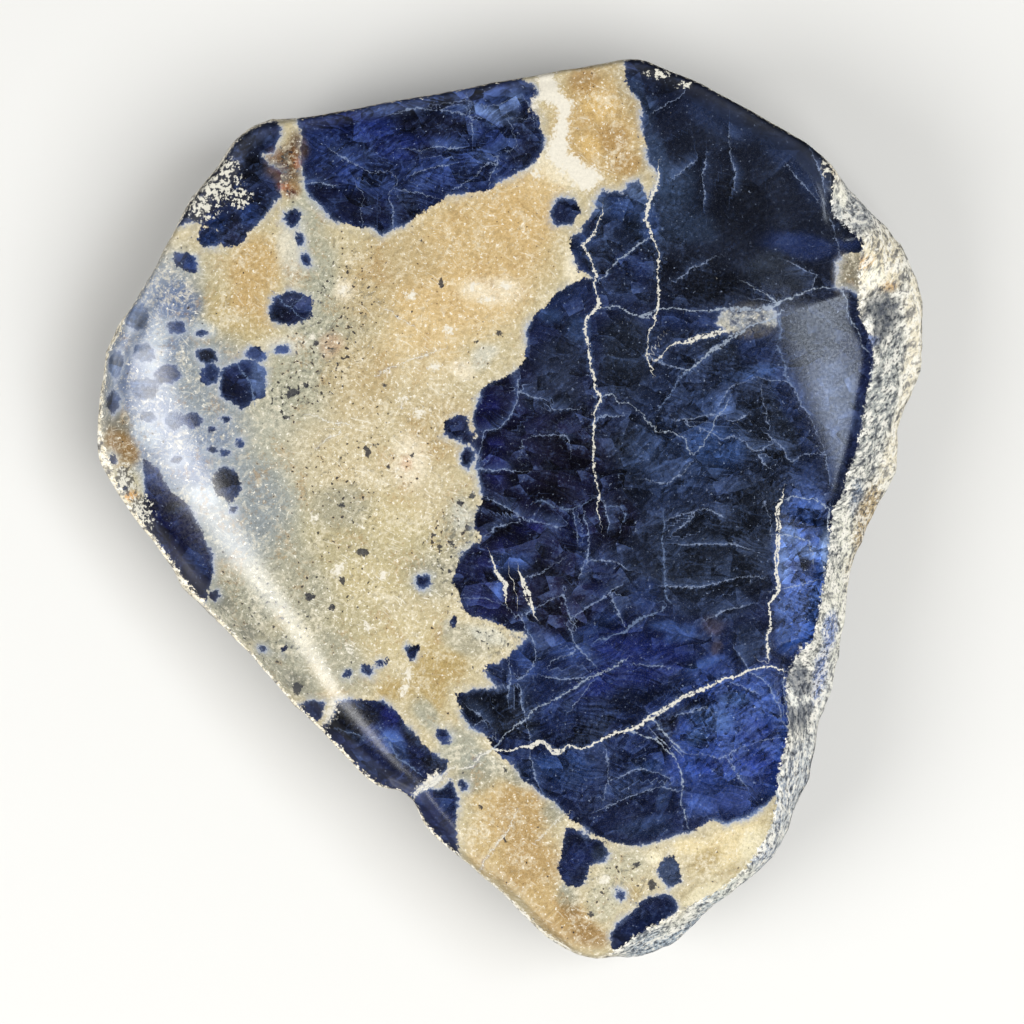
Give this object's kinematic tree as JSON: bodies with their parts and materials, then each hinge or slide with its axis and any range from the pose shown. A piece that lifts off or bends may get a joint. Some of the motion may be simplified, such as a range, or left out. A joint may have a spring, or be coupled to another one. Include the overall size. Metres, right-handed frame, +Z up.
{
  "type": "polished sodalite slab",
  "caption": "Hand-sized freeform slab of sodalite: polished face with a long bevel, rough broken rim and underside, ground spot to rest on.",
  "frame": {"origin": "middle of the stone's box on the surface that it rests on", "axes": "+Z up out of the polished face, +Y along the stone's length to its blunt end, +X to the right as seen from above"},
  "size_m": [0.0844, 0.0909, 0.018],
  "materials": {
    "sodalite": "polished deep blue with cream matrix and white veins, rough where broken"
  },
  "bodies": {
    "root": {"sodalite": "sodalite"}
  },
  "joints": []
}
